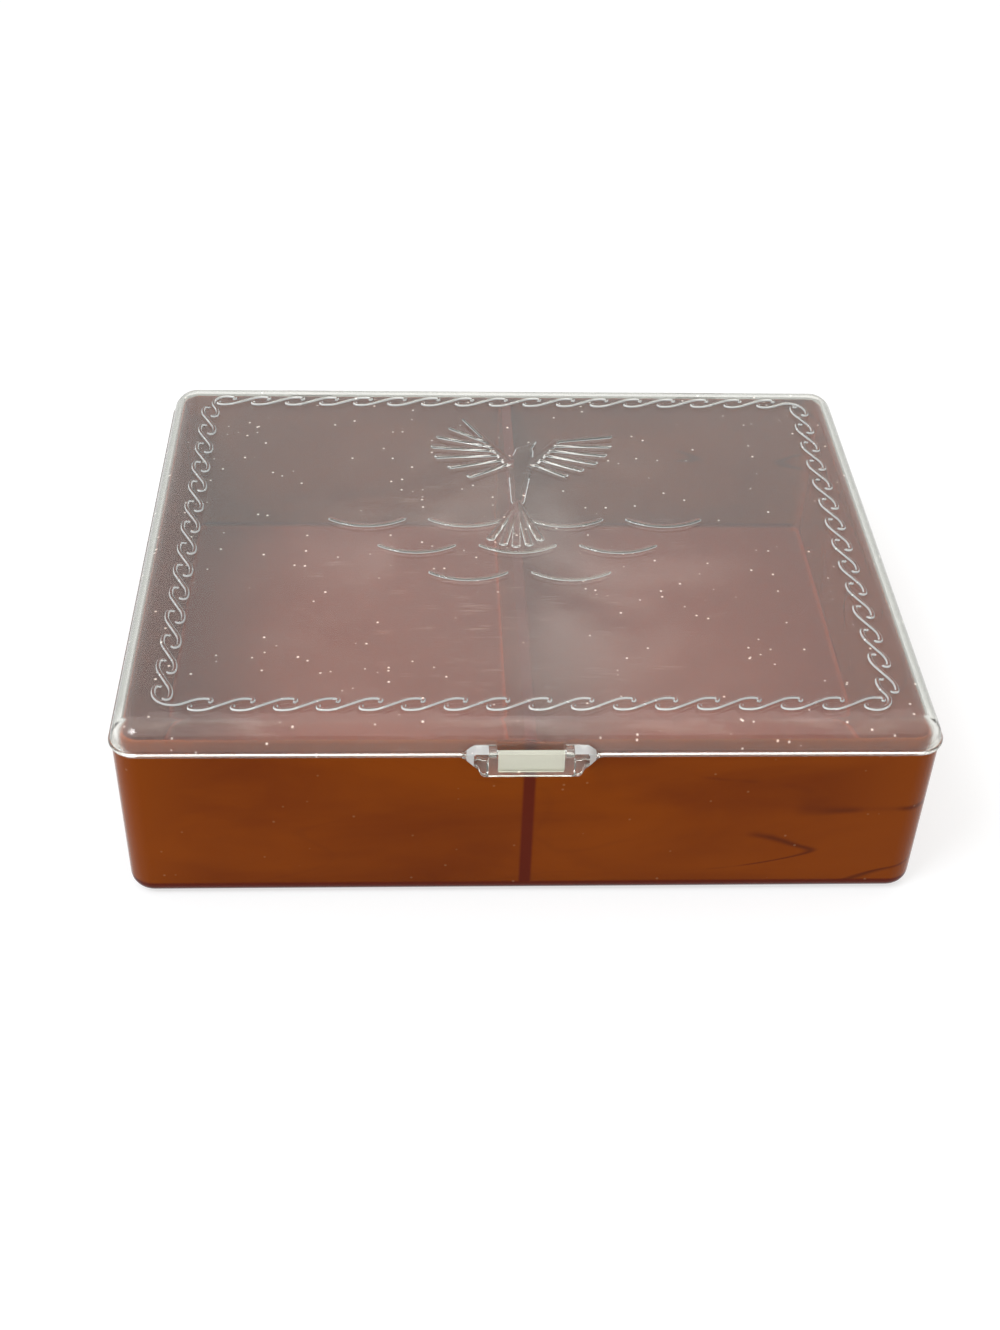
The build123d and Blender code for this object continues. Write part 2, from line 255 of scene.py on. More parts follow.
def marked(tree, place, *amounts):
    """The marks of use in a material, with its own amounts of scratches, scuffs and dust."""
    inputs = {"Place": place, **dict(zip(mark_names, amounts))}
    return add_node(tree, "ShaderNodeGroup", inputs, node_tree=marks).outputs


def mixed(tree, mask, low, high):
    """A colour that goes from low to high with a mask. Each is a colour or a socket."""
    mix = add_node(tree, "ShaderNodeMix", {"Factor": mask}, data_type="RGBA")
    low_socket, high_socket = [socket for socket in mix.inputs if socket.type == "RGBA"]
    for socket, value in ((low_socket, low), (high_socket, high)):
        if isinstance(value, bpy.types.NodeSocket):
            tree.links.new(value, socket)
        else:
            socket.default_value = (*value, 1.0)
    return next(socket for socket in mix.outputs if socket.type == "RGBA")


def band(tree, value, full, none):
    """A mask that is 1 where a value is at or past full, and fades softly to 0 at none."""
    return ramp(tree, value, none, full, interpolation_type="SMOOTHSTEP")


# The amber is darker and redder along the floor's edge, and where the divider meets the front and
# back walls: painted shade, for light that goes a long way through the plastic. It is paler on the
# floor and the side walls inside and towards both ends: painted light, as if lit through the walls.
# Swirls of darker melt are strongest at the right-hand end.
amber_pale = (0.235, 0.045, 0.001)
amber_deep = (0.158, 0.025, 0.001)
amber_thick_shade = (0.105, 0.009, 0.004)
amber_painted_backlight = (0.36, 0.056, 0.012)
amber_swirl = (0.085, 0.012, 0.003)
amber_gloss = 0.16
amber_worn = 0.45
amber_marks = (0.3, 0.15, 0.2)
amber_dust = (0.6, 0.4, 0.25)
amber_depth = {"Color": (0.8, 0.3, 0.04, 1.0), "Density": 300.0}
polystyrene_ior = 1.59
flow_stretch = (0.55, 0.55, 1.7)
cloud_pattern = (34.0, 5.0, 0.5)
cloud_range = (0.72, 0.3)
end_glow_start = 0.055
end_glow_end = 0.085
swirl_pattern = (21.0, 1.0, 0.9)
swirl_level = 0.5
swirl_thickness = 0.014
swirl_depth = 0.8
swirl_patch_pattern = (48.0, 2.0)
swirl_patch_range = (0.58, 0.42)
swirl_start = 0.02
swirl_full = 0.05
swirl_least = 0.12
floor_edge = 0.0034
divider_half_width = 0.00125
divider_wall_inside = 0.0655
amber_blur = 0.0004
wall_blur = 0.0005
inner_floor = 0.0025
floor_reach = (0.0001, 0.0009)
pocket_reach = Vector((0.0822, 0.065, 0.0))
side_wall = 0.0778
side_wall_fade = 0.0015
side_wall_share = 0.35

amber = bpy.data.materials.new("amber polystyrene")
tree = empty_nodes(amber)
place = add_node(tree, "ShaderNodeTexCoord").outputs["Object"]
spot = add_node(tree, "ShaderNodeSeparateXYZ", {"Vector": place})
off_middle = maths(tree, "ABSOLUTE", spot.outputs["X"])
off_centre = maths(tree, "ABSOLUTE", spot.outputs["Y"])
flow = add_node(tree, "ShaderNodeMapping", {"Vector": place, "Scale": flow_stretch}).outputs[0]
cloud_and_end_glow = band(tree, noise(tree, flow, *cloud_pattern), *cloud_range)
# Painted light: the amber is paler towards both ends, a glow through the end walls, on top of the real
# cloudy patches.
cloud_and_end_glow = maths(tree, "MAXIMUM", cloud_and_end_glow, band(tree, off_middle, end_glow_end, end_glow_start))
melt = mixed(tree, cloud_and_end_glow, amber_deep, amber_pale)
off_swirl = maths(tree, "SUBTRACT", noise(tree, flow, *swirl_pattern), swirl_level)
swirl_line = band(tree, maths(tree, "ABSOLUTE", off_swirl), 0.0, swirl_thickness)
swirl_line = maths(tree, "MULTIPLY", swirl_line, swirl_depth)
in_patch = band(tree, noise(tree, place, *swirl_patch_pattern), *swirl_patch_range)
swirl_line = maths(tree, "MULTIPLY", swirl_line, in_patch)
to_right = band(tree, spot.outputs["X"], swirl_full, swirl_start)
swirl_share = maths(tree, "MAXIMUM", to_right, swirl_least)
melt = mixed(tree, maths(tree, "MULTIPLY", swirl_line, swirl_share), melt, amber_swirl)
# Painted shade: darker, redder amber along the floor's edge and where the divider stands behind the
# front and back walls.
at_floor = band(tree, spot.outputs["Z"], floor_edge - amber_blur, floor_edge + amber_blur)
at_divider = band(tree, off_middle, divider_half_width - amber_blur, divider_half_width + amber_blur)
in_wall = band(tree, off_centre, divider_wall_inside + wall_blur, divider_wall_inside)
over_floor = band(tree, spot.outputs["Z"], floor_edge + amber_blur, floor_edge)
in_wall = maths(tree, "MAXIMUM", in_wall, over_floor)
thick_shade = maths(tree, "MAXIMUM", at_floor, maths(tree, "MULTIPLY", at_divider, in_wall))
melt = mixed(tree, thick_shade, melt, amber_thick_shade)
# Painted light: paler amber on the floor and the side walls inside, as if lit through the walls.
from_floor = maths(tree, "ABSOLUTE", maths(tree, "SUBTRACT", spot.outputs["Z"], inner_floor))
on_floor = band(tree, from_floor, *floor_reach)
on_wall = band(tree, off_middle, side_wall, side_wall - side_wall_fade)
painted_backlight = maths(tree, "MAXIMUM", on_floor, maths(tree, "MULTIPLY", on_wall, side_wall_share))
inside_x = band(tree, off_middle, pocket_reach.x, pocket_reach.x + wall_blur)
inside_y = band(tree, off_centre, pocket_reach.y - wall_blur, pocket_reach.y + wall_blur)
inside = maths(tree, "MULTIPLY", inside_x, inside_y)
melt = mixed(tree, maths(tree, "MULTIPLY", painted_backlight, inside), melt, amber_painted_backlight)
wear = marked(tree, place, *amber_marks)
melt = mixed(tree, wear["Dust"], melt, amber_dust)
dulled = maths(tree, "ADD", wear["Scratches"], wear["Scuffs"])
skin = add_node(
    tree,
    "ShaderNodeBsdfPrincipled",
    {
        "Base Color": melt,
        "Roughness": ramp(tree, dulled, 0.0, 1.0, amber_gloss, amber_worn),
        "IOR": polystyrene_ior,
        "Transmission Weight": 0.2,
        "Specular IOR Level": 0.05,
        "Specular Tint": (0.95, 0.4, 0.12, 1.0),
    },
)
depth = add_node(tree, "ShaderNodeVolumeAbsorption", amber_depth)
add_node(
    tree, "ShaderNodeOutputMaterial", {"Surface": skin.outputs[0], "Volume": depth.outputs[0]}
)
tray_mesh.materials.clear()
tray_mesh.materials.append(amber)
tray = finish_mesh("amber_tray", tray_mesh)
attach(tray, "tray")
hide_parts("base_tray")

# Lid shell: one moulding of clear polystyrene, 1.5 mm thick. Its edge rolls over into a short skirt
# with a bead along the rim, and at the front the bead sweeps forward and down into the latch tab.
lid_low, lid_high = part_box("lid")
ornament_height = 0.0004
lid_height = 0.0062
lid_wall = 0.0015
roll_radius = 0.0055
bead_proud = 0.0004
bead_height = 0.0011
corner_radius = 0.0005
tab_step = 0.002
tab_above_rim = 0.00285
tab_round = 0.0004
tab_gap_to_tray = 0.0001
tab_wall = 0.0013
tab_foot_half_width = 0.0092
tab_hollow_half_width = 0.0086
tab_side_end = 0.0144
tab_front_end = 0.0112
roll_start = 7
roll_start_at_tab = 25
roll_steps = 16
inner_roll_steps = 10
bead_steps = 8
corner_steps = 16
foot_points = 3
tab_low_points = 9
tab_high_points = 13
top_cell = 0.004
skirt_inset = 0.0003
round_middle = 0.00012
cheek_corner = 0.0001
cheek_start = 0.0006
cheek_drop = 0.0005
hollow_corner = 0.00015
hollow_slope = 0.0004

flat_top = lid_high.z - ornament_height
rim = flat_top - lid_height
roll_centre = flat_top - roll_radius
half_width = lid_high.x - bead_proud - roll_radius
half_depth = -lid_low.y - tab_step - bead_proud - roll_radius
skirt_inside = roll_radius - lid_wall
tab_face = -lid_low.y - half_depth
tab_inside = tab_face - tab_wall
tab_top = rim + tab_above_rim
hinge_y, hinge_z = frame["joints"][0]["pos_m"][1:]
knuckle_radius = 0.0022
latch_hook_top = 0.03785
latch_hook_height = 0.001
foot_below_hook = 0.00075
tab_foot = latch_hook_top - latch_hook_height - foot_below_hook


def arc(centre, radius, start, end, steps):
    """Points on a circle in a section, from one angle to another in degrees."""
    points = []
    for step in range(steps + 1):
        angle = math.radians(start + (end - start) * step / steps)
        points.append((centre[0] + radius * math.cos(angle), centre[1] + radius * math.sin(angle)))
    return points


def between(first, last, share):
    """The value at a share of the way from first to last."""
    return first + (last - first) * share


inner_roll = arc((0, roll_centre), skirt_inside, 90, 0, inner_roll_steps) + [(skirt_inside, rim)]
under_bead = [
    (between(skirt_inside + skirt_inset, roll_radius, step / bead_steps), rim)
    for step in range(bead_steps + 1)
]
bead = [
    (roll_radius + bead_proud * x, rim + bead_height / 2 * (1 + z))
    for x, z in arc((0, 0), 1, -90, 90, bead_steps)[1:]
]
cheek_side = roll_radius + tab_gap_to_tray
under_cheek = [
    (skirt_inside + skirt_inset, rim),
    (roll_radius - cheek_start, rim),
    (roll_radius - cheek_corner, rim),
    (roll_radius + cheek_corner / 2, rim - cheek_corner / 2),
    (cheek_side, rim - 2 * cheek_corner),
    (cheek_side, rim - cheek_drop),
    (cheek_side, tab_foot + tab_round),
    (cheek_side + round_middle, tab_foot + round_middle),
    (cheek_side + tab_round, tab_foot),
]
under_hollow = [
    (skirt_inside + skirt_inset, rim),
    (roll_radius - hollow_corner, rim),
    (roll_radius, rim + hollow_corner),
    (roll_radius, tab_top - tab_wall),
    (tab_inside, tab_top - tab_wall),
    (tab_inside, rim),
    (tab_inside, tab_foot + tab_round),
    (tab_inside + round_middle, tab_foot + round_middle),
    (tab_inside + tab_round, tab_foot),
]
tab_front = [
    (tab_face - tab_round, tab_foot),
    (tab_face - round_middle, tab_foot + round_middle),
    (tab_face, tab_foot + tab_round),
    (tab_face, rim),
    (tab_face, tab_top - tab_round),
    (tab_face - round_middle, tab_top - round_middle),
    (tab_face - tab_round, tab_top),
    (roll_radius - skirt_inset, tab_top),
]


def lid_section(drop=0.0, out=0.0, hollow=0.0):
    """The lid's wall as (outward, up) points, from the rim bead (0) to the full latch tab (1)."""
    points = list(inner_roll)
    for plain, solid, open_side in zip(under_bead, under_cheek, under_hollow):
        tab = [between(a, b, hollow) for a, b in zip(solid, open_side)]
        points.append([between(a, b, drop) for a, b in zip(plain, tab)])
    for index, (plain, tab) in enumerate(zip(bead, tab_front)):
        rise = drop if index < foot_points else out
        points.append((between(plain[0], tab[0], out), between(plain[1], tab[1], rise)))
    start = between(roll_start, roll_start_at_tab, out)
    return points + arc((0, roll_centre), roll_radius, start, 90, roll_steps)


tab_curve_low = [
    (tab_foot_half_width, tab_foot, 0),
    (0.01015, tab_foot, 0),
    (0.01035, 0.0369, 0),
    (0.01065, 0.0377, 0),
]
tab_curve_high = [
    (0.01065, 0.0377, 0),
    (0.01105, 0.0389, 0),
    (0.0124, rim - 0.00015, 0),
    (tab_side_end, rim, 0),
]
tab_side = interpolate_bezier(*tab_curve_low, tab_low_points)
tab_side += interpolate_bezier(*tab_curve_high, tab_high_points)[1:]
front_stations = [
    (tab_hollow_half_width, 1.0, 1.0, 1.0),
    (tab_hollow_half_width + hollow_slope, 1.0, 1.0, 0.0),
]
for point in tab_side:
    fade = min(max((point.x - tab_front_end) / (tab_side_end - tab_front_end), 0), 1)
    out = 1 - fade * fade * (3 - 2 * fade)
    front_stations.append((point.x, (rim - point.y) / (rim - tab_foot), out, 0.0))
rings = []
for sign, order in ((-1, reversed(front_stations)), (1, front_stations)):
    for x, drop, out, hollow in order:
        section = lid_section(drop, out, hollow)
        rings.append([(sign * x, -half_depth - outward, up) for outward, up in section])
plain_section = lid_section()
for corner, (side_x, side_y) in enumerate([(1, -1), (1, 1), (-1, 1), (-1, -1)]):
    for step in range(corner_steps + 1):
        angle = math.radians(90 * (corner - 1 + step / corner_steps))
        rings.append([
            (
                side_x * (half_width - corner_radius) + (outward + corner_radius) * math.cos(angle),
                side_y * (half_depth - corner_radius) + (outward + corner_radius) * math.sin(angle),
                up,
            )
            for outward, up in plain_section
        ])

touching = 1e-7


def closed_mesh(name, points, faces):
    """An object in the scene from points and faces, with its faces turned outwards."""
    mesh = bpy.data.meshes.new(name)
    mesh.from_pydata(points, [], faces)
    solid = bmesh.new()
    solid.from_mesh(mesh)
    bmesh.ops.remove_doubles(solid, verts=solid.verts, dist=touching)
    bmesh.ops.recalc_face_normals(solid, faces=solid.faces)
    solid.to_mesh(mesh)
    solid.free()
    piece = bpy.data.objects.new(name, mesh)
    scene.collection.objects.link(piece)
    return piece


count = len(plain_section)
lid_points = [point for ring in rings for point in ring]
lid_faces = []
for ring in range(len(rings)):
    here, there = ring * count, (ring + 1) % len(rings) * count
    for step in range(count - 1):
        lid_faces.append((here + step, there + step, there + step + 1, here + step + 1))
lid_faces.append([ring * count for ring in range(len(rings))])
lid_faces.append([ring * count + count - 1 for ring in range(len(rings))])
lid = closed_mesh("clear_lid", lid_points, lid_faces)

# The flat top is divided into small squares, so that the ornament joins it cleanly.
shell = bmesh.new()
shell.from_mesh(lid.data)
for across, reach in ((Vector((1, 0, 0)), half_width), (Vector((0, 1, 0)), half_depth)):
    for step in range(math.ceil(2 * reach / top_cell)):
        level = flat_top - weld_distance
        top = [face for face in shell.faces if min(vert.co.z for vert in face.verts) > level]
        edges = list({edge for face in top for edge in face.edges})
        place = across * (step * top_cell - reach)
        bmesh.ops.bisect_plane(shell, geom=top + edges, plane_co=place, plane_no=across)
shell.to_mesh(lid.data)
shell.free()


def combine(target, other, operation):
    """Adds the other solid to the target or cuts it away, and removes the other."""
    step = target.modifiers.new("step", "BOOLEAN")
    step.operation = operation
    step.solver = "MANIFOLD"
    step.object = other
    shown = target.evaluated_get(bpy.context.evaluated_depsgraph_get())
    target.data = bpy.data.meshes.new_from_object(shown)
    target.modifiers.clear()
    bpy.data.objects.remove(other)


def bar(name, outline, left, right):
    """A closed bar along X with an outline of (y, z) points."""
    size = len(outline)
    points = [(x, y, z) for x in (left, right) for y, z in outline]
    sides = [(i, (i + 1) % size, size + (i + 1) % size, size + i) for i in range(size)]
    caps = [tuple(range(size)), tuple(range(size, 2 * size))]
    return closed_mesh(name, points, sides + caps)


# The latch: a window cut down through the tab's ledge shows a rough pad on the inside of the tab, and
# the hook below it, a bar that snaps under the tray's catch bead.
window_half_width = 0.007
window_back = -0.0677
hook_half_width = 0.0066
hook_reach = -0.06915
hook_lead = 0.0003
pad_half_width = 0.0067
pad_low = 0.03735
pad_below_top = 0.0001
pad_proud = 0.00004
moulded_in = 0.0005
tab_inner_y = -half_depth - tab_inside

window = [(tab_inner_y, rim), (window_back, rim), (window_back, flat_top), (tab_inner_y, flat_top)]
combine(lid, bar("window", window, -window_half_width, window_half_width), "DIFFERENCE")
pad = [
    (tab_inner_y - moulded_in, pad_low),
    (tab_inner_y + pad_proud, pad_low),
    (tab_inner_y + pad_proud, tab_top - pad_below_top),
    (tab_inner_y - moulded_in, tab_top - pad_below_top),
]
combine(lid, bar("rough_pad", pad, -pad_half_width, pad_half_width), "UNION")
hook_low = latch_hook_top - latch_hook_height
hook = [
    (tab_inner_y - moulded_in, hook_low),
    (hook_reach, hook_low + hook_lead),
    (hook_reach, latch_hook_top),
    (tab_inner_y - moulded_in, latch_hook_top),
]
combine(lid, bar("hook", hook, -hook_half_width, hook_half_width), "UNION")

# The hinge arms: two straps moulded onto the back of the rim, each ending in a round knuckle that
# is bored for its pin.
knuckle_half_width = 0.005
knuckle_steps = 30
pin_bore = 0.00085
bore_sides = 24
arm_rise = 0.0019
arm_corner = 0.0006
arm_corner_steps = 5

arm_front = hinge_y - knuckle_radius
arm_back = half_depth + roll_radius - lid_wall / 2
arm_top = rim + arm_rise
bore_turn = 360 - 360 / bore_sides
for side in ("left", "right"):
    pin_low, pin_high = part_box(f"hinge_pin_{side}")
    middle = (pin_low.x + pin_high.x) / 2
    arm = [(arm_front, rim), (arm_back, rim), (arm_back, arm_top)]
    arm += arc((hinge_y - arm_corner, arm_top - arm_corner), arm_corner, 90, 0, arm_corner_steps)
    arm += arc((hinge_y, hinge_z), knuckle_radius, 90, -180, knuckle_steps)
    combine(lid, bar("arm", arm, middle - knuckle_half_width, middle + knuckle_half_width), "UNION")
    bore = arc((hinge_y, hinge_z), pin_bore, 0, bore_turn, bore_sides - 1)
    reach = 2 * knuckle_half_width
    combine(lid, bar("bore", bore, middle - reach, middle + reach), "DIFFERENCE")

# Raised ornament: every line is a low rounded ridge standing on the lid's flat top, moulded with it.
# One shared group turns a drawn line into such a ridge, as high along its whole length, with round
# ends. A point's radius is its share of the ridge's full width.
end_fullness = 1.03
ridge_sides = 12

ridge = bpy.data.node_groups.new("moulded ridge", "GeometryNodeTree")
ridge.interface.new_socket("Lines", in_out="INPUT", socket_type="NodeSocketGeometry")
for socket_name in ("Half Width", "Height", "Step"):
    ridge.interface.new_socket(socket_name, in_out="INPUT", socket_type="NodeSocketFloat")
ridge.interface.new_socket("Ridges", in_out="OUTPUT", socket_type="NodeSocketGeometry")
given = add_node(ridge, "NodeGroupInput")
evened = add_node(ridge, "GeometryNodeResampleCurve", {"Curve": given.outputs["Lines"]})
evened.mode = "LENGTH"
ridge.links.new(given.outputs["Step"], evened.inputs["Length"])
drawn_width = add_node(ridge, "GeometryNodeInputRadius")
kept_width = add_node(ridge, "GeometryNodeCaptureAttribute", {"Geometry": evened.outputs[0]})
kept_width.capture_items.new("FLOAT", "Width")
ridge.links.new(drawn_width.outputs[0], kept_width.inputs["Width"])
along = add_node(ridge, "GeometryNodeSplineParameter")
whole = add_node(ridge, "GeometryNodeSplineLength")
to_end = maths(ridge, "SUBTRACT", whole.outputs["Length"], along.outputs["Length"])
nearest_end = maths(ridge, "MINIMUM", along.outputs["Length"], to_end)
full_width = maths(ridge, "MULTIPLY", kept_width.outputs["Width"], given.outputs["Half Width"])
from_end = maths(ridge, "DIVIDE", nearest_end, full_width, use_clamp=True)
squared = maths(ridge, "POWER", maths(ridge, "SUBTRACT", 1.0, from_end), 2.0)
round_end = maths(ridge, "SQRT", maths(ridge, "SUBTRACT", end_fullness, squared))
at_most_full = maths(ridge, "MINIMUM", round_end, 1.0)
tapered = maths(ridge, "MULTIPLY", at_most_full, kept_width.outputs["Width"])
shaped = add_node(
    ridge, "GeometryNodeSetCurveRadius", {"Curve": kept_width.outputs[0], "Radius": tapered}
)
upright = add_node(ridge, "GeometryNodeSetCurveNormal", {"Curve": shaped.outputs[0]})
upright.mode = "Z_UP"
circle = add_node(ridge, "GeometryNodeCurvePrimitiveCircle", {"Resolution": ridge_sides, "Radius": 1.0})
oval_size = add_node(
    ridge,
    "ShaderNodeCombineXYZ",
    {"X": given.outputs["Half Width"], "Y": given.outputs["Height"], "Z": 1.0},
)
oval = add_node(
    ridge, "GeometryNodeTransform", {"Geometry": circle.outputs["Curve"], "Scale": oval_size.outputs[0]}
)
raised = add_node(
    ridge,
    "GeometryNodeCurveToMesh",
    {"Curve": upright.outputs[0], "Profile Curve": oval.outputs[0], "Fill Caps": True},
)
radius_again = add_node(ridge, "GeometryNodeInputRadius")
ridge.links.new(radius_again.outputs[0], raised.inputs["Scale"])
spot = add_node(ridge, "GeometryNodeInputPosition")
parts = add_node(ridge, "ShaderNodeSeparateXYZ", {"Vector": spot.outputs[0]})
even_height = maths(ridge, "DIVIDE", parts.outputs["Z"], kept_width.outputs["Width"])
level_spot = add_node(
    ridge,
    "ShaderNodeCombineXYZ",
    {"X": parts.outputs["X"], "Y": parts.outputs["Y"], "Z": even_height},
)
levelled = add_node(
    ridge, "GeometryNodeSetPosition", {"Geometry": raised.outputs[0], "Position": level_spot.outputs[0]}
)
add_node(ridge, "NodeGroupOutput", {"Ridges": levelled.outputs[0]})


def drawn_lines(name, strokes):
    """A curve object. Each stroke is a list of (x, y, share of the ridge's full width)."""
    data = bpy.data.curves.new(name, "CURVE")
    data.dimensions = "3D"
    for stroke in strokes:
        line = data.splines.new("POLY")
        line.points.add(len(stroke) - 1)
        for point, (x, y, size) in zip(line.points, stroke):
            point.co = (x, y, 0.0, 1.0)
            point.radius = size
    lines = bpy.data.objects.new(name, data)
    scene.collection.objects.link(lines)
    return lines


def moulded(tree, values):
    """The plain, outward-facing mesh that a tree makes from its named inputs."""
    host = bpy.data.objects.new(tree.name.replace(" ", "_"), bpy.data.meshes.new(tree.name))
    scene.collection.objects.link(host)
    shape = host.modifiers.new("shape", "NODES")
    shape.node_group = tree
    for item in tree.interface.items_tree:
        if item.item_type == "SOCKET" and item.in_out == "INPUT":
            shape[item.identifier] = values[item.name]
    shown = host.evaluated_get(bpy.context.evaluated_depsgraph_get())
    host.data = bpy.data.meshes.new_from_object(shown)
    host.modifiers.clear()
    solid = bmesh.new()
    solid.from_mesh(host.data)
    bmesh.ops.recalc_face_normals(solid, faces=solid.faces)
    solid.to_mesh(host.data)
    solid.free()
    return host


def new_tree(name, sockets):
    """A geometry tree with named inputs, and its input node."""
    tree = bpy.data.node_groups.new(name, "GeometryNodeTree")
    for socket_name, kind in sockets.items():
        tree.interface.new_socket(socket_name, in_out="INPUT", socket_type="NodeSocket" + kind)
    tree.interface.new_socket("Geometry", in_out="OUTPUT", socket_type="NodeSocketGeometry")
    return tree, add_node(tree, "NodeGroupInput")


def ridges_of(tree, given, lines):
    """The ridges of a line object named by one of the tree's inputs, at the tree's ridge sizes."""
    source = add_node(tree, "GeometryNodeObjectInfo", {"Object": given.outputs[lines]})
    group = add_node(tree, "GeometryNodeGroup", node_tree=ridge)
    tree.links.new(source.outputs["Geometry"], group.inputs["Lines"])
    for name in ("Half Width", "Height", "Step"):
        tree.links.new(given.outputs[name], group.inputs[name])
    return group.outputs["Ridges"]


def end_tree(tree, given, geometry):
    """Ends a tree in real geometry at its level, in the lid's own material."""
    lift = add_node(tree, "ShaderNodeCombineXYZ", {"Z": given.outputs["Level"]})
    lifted = add_node(
        tree, "GeometryNodeTransform", {"Geometry": geometry, "Translation": lift.outputs[0]}
    )
    real = add_node(tree, "GeometryNodeRealizeInstances", {"Geometry": lifted.outputs[0]})
    dressed = add_node(
        tree,
        "GeometryNodeSetMaterial",
        {"Geometry": real.outputs[0], "Material": given.outputs["Material"]},
    )
    add_node(tree, "NodeGroupOutput", {"Geometry": dressed.outputs[0]})


clear = bpy.data.materials.new("clear polystyrene")
ridge_foot = 0.00003
ridge_step = 0.00028
ridge_sockets = {
    "Half Width": "Float",
    "Height": "Float",
    "Step": "Float",
    "Level": "Float",
    "Material": "Material",
}
ridge_values = {
    "Height": ornament_height + ridge_foot,
    "Step": ridge_step,
    "Level": flat_top - ridge_foot,
    "Material": clear,
}

# Scroll border: a running wave of S-shaped strokes along a line inside the rim, each with its first
# curl under the end of the stroke before. The strokes before a corner bend round it. The back and
# the left side are the front and the right side turned half round.
scroll_side_inset = 0.0105
scroll_front_inset = 0.00975
scroll_half_width = 0.00052
scroll_straight = 0.0047
scroll_slope = 28
scroll_bowl = (0.0058, -38)
scroll_curl = (0.00062, -170)
scroll_front_count = 16
scroll_front_start = 0.01225
scroll_side_count = 13
scroll_side_start = 0.0096
scroll_overrun = 0.0006
scroll_left_corner = (165, 0.0043, 0.0016)
scroll_right_corner = (150, 0.0033, 0.00075)
line_step = 0.00015
scroll_x = lid_high.x - scroll_side_inset
scroll_y = half_depth + roll_radius + bead_proud - scroll_front_inset


def walk(start, heading, *runs):
    """Points along straight runs, each a length, and arcs, each a radius and a turn in degrees."""
    points = [Vector(start)]
    for run in runs:
        radius, turn = run if isinstance(run, tuple) else (0, 0)
        length = radius * math.radians(abs(turn)) or run
        steps = math.ceil(length / line_step)
        for _ in range(steps):
            heading += turn / steps / 2
            course = Vector((math.cos(math.radians(heading)), math.sin(math.radians(heading))))
            points.append(points[-1] + course * length / steps)
            heading += turn / steps / 2
    return points


half_wave = walk((0, 0), scroll_slope, scroll_straight / 2, scroll_bowl, scroll_curl)
wave = [-point for point in reversed(half_wave)] + half_wave[1:]


def corner_wave(corner, facing, first_turn, radius, straight):
    """The stroke that bends round a corner, which is reached in the facing direction."""
    bend = (radius, 270 + scroll_slope - first_turn)
    first = (scroll_curl[0], first_turn)
    start = wave[0] + Vector((scroll_overrun, 0))
    line = walk(start, 180, first, bend, straight, scroll_bowl, scroll_curl)
    turned = Matrix.Rotation(math.radians(facing), 2)
    return [Vector(corner) + turned @ point for point in line]


border, given = new_tree(
    "scroll border",
    {
        "Wave": "Object",
        "Corners": "Object",
        "Front Count": "Int",
        "Side Count": "Int",
        "Front Start": "Vector",
        "Side Start": "Vector",
        "Front Offset": "Vector",
        "Side Offset": "Vector",
        **ridge_sockets,
    },
)
wave_ridge = ridges_of(border, given, "Wave")
corner_ridges = ridges_of(border, given, "Corners")
rows = []
for row, turn in (("Front", 0), ("Side", 90)):
    places = add_node(
        border,
        "GeometryNodeMeshLine",
        {
            "Count": given.outputs[f"{row} Count"],
            "Start Location": given.outputs[f"{row} Start"],
            "Offset": given.outputs[f"{row} Offset"],
        },
    )
    rows.append(add_node(
        border,
        "GeometryNodeInstanceOnPoints",
        {
            "Points": places.outputs[0],
            "Instance": wave_ridge,
            "Rotation": (0.0, 0.0, math.radians(turn)),
        },
    ))
half_border = add_node(border, "GeometryNodeJoinGeometry")
for geometry in (corner_ridges, rows[0].outputs[0], rows[1].outputs[0]):
    border.links.new(geometry, half_border.inputs[0])
turned = add_node(
    border,
    "GeometryNodeTransform",
    {"Geometry": half_border.outputs[0], "Rotation": (0.0, 0.0, math.pi)},
)
both_halves = add_node(border, "GeometryNodeJoinGeometry")
border.links.new(half_border.outputs[0], both_halves.inputs[0])
border.links.new(turned.outputs[0], both_halves.inputs[0])
end_tree(border, given, both_halves.outputs[0])

front_pitch = (2 * scroll_x - scroll_front_start + scroll_overrun) / scroll_front_count
side_pitch = (2 * scroll_y - scroll_side_start + scroll_overrun) / scroll_side_count
wave_line = drawn_lines("wave", [[(*point, 1.0) for point in wave]])
left_corner = corner_wave((-scroll_x, -scroll_y), -90, *scroll_left_corner)
right_corner = corner_wave((scroll_x, -scroll_y), 0, *scroll_right_corner)
corner_lines = drawn_lines(
    "corners", [[(*point, 1.0) for point in corner] for corner in (left_corner, right_corner)]
)
border_ridges = moulded(
    border,
    {
        "Wave": wave_line,
        "Corners": corner_lines,
        "Front Count": scroll_front_count,
        "Side Count": scroll_side_count,
        "Front Start": (scroll_front_start - scroll_x, -scroll_y, 0.0),
        "Side Start": (scroll_x, scroll_side_start - scroll_y, 0.0),
        "Front Offset": (front_pitch, 0.0, 0.0),
        "Side Offset": (0.0, side_pitch, 0.0),
        "Half Width": scroll_half_width,
        **ridge_values,
    },
)
combine(lid, border_ridges, "UNION")

# Ripples: three rows of shallow arcs that bow towards the front, like water under the bird.
ripple_chord = 0.0176
ripple_sag = 0.003
ripple_pitch = 0.0229
ripple_front = -0.0138
ripple_row_gap = 0.0104
ripple_rows = 3
ripple_front_count = 2
ripple_half_width = 0.0007

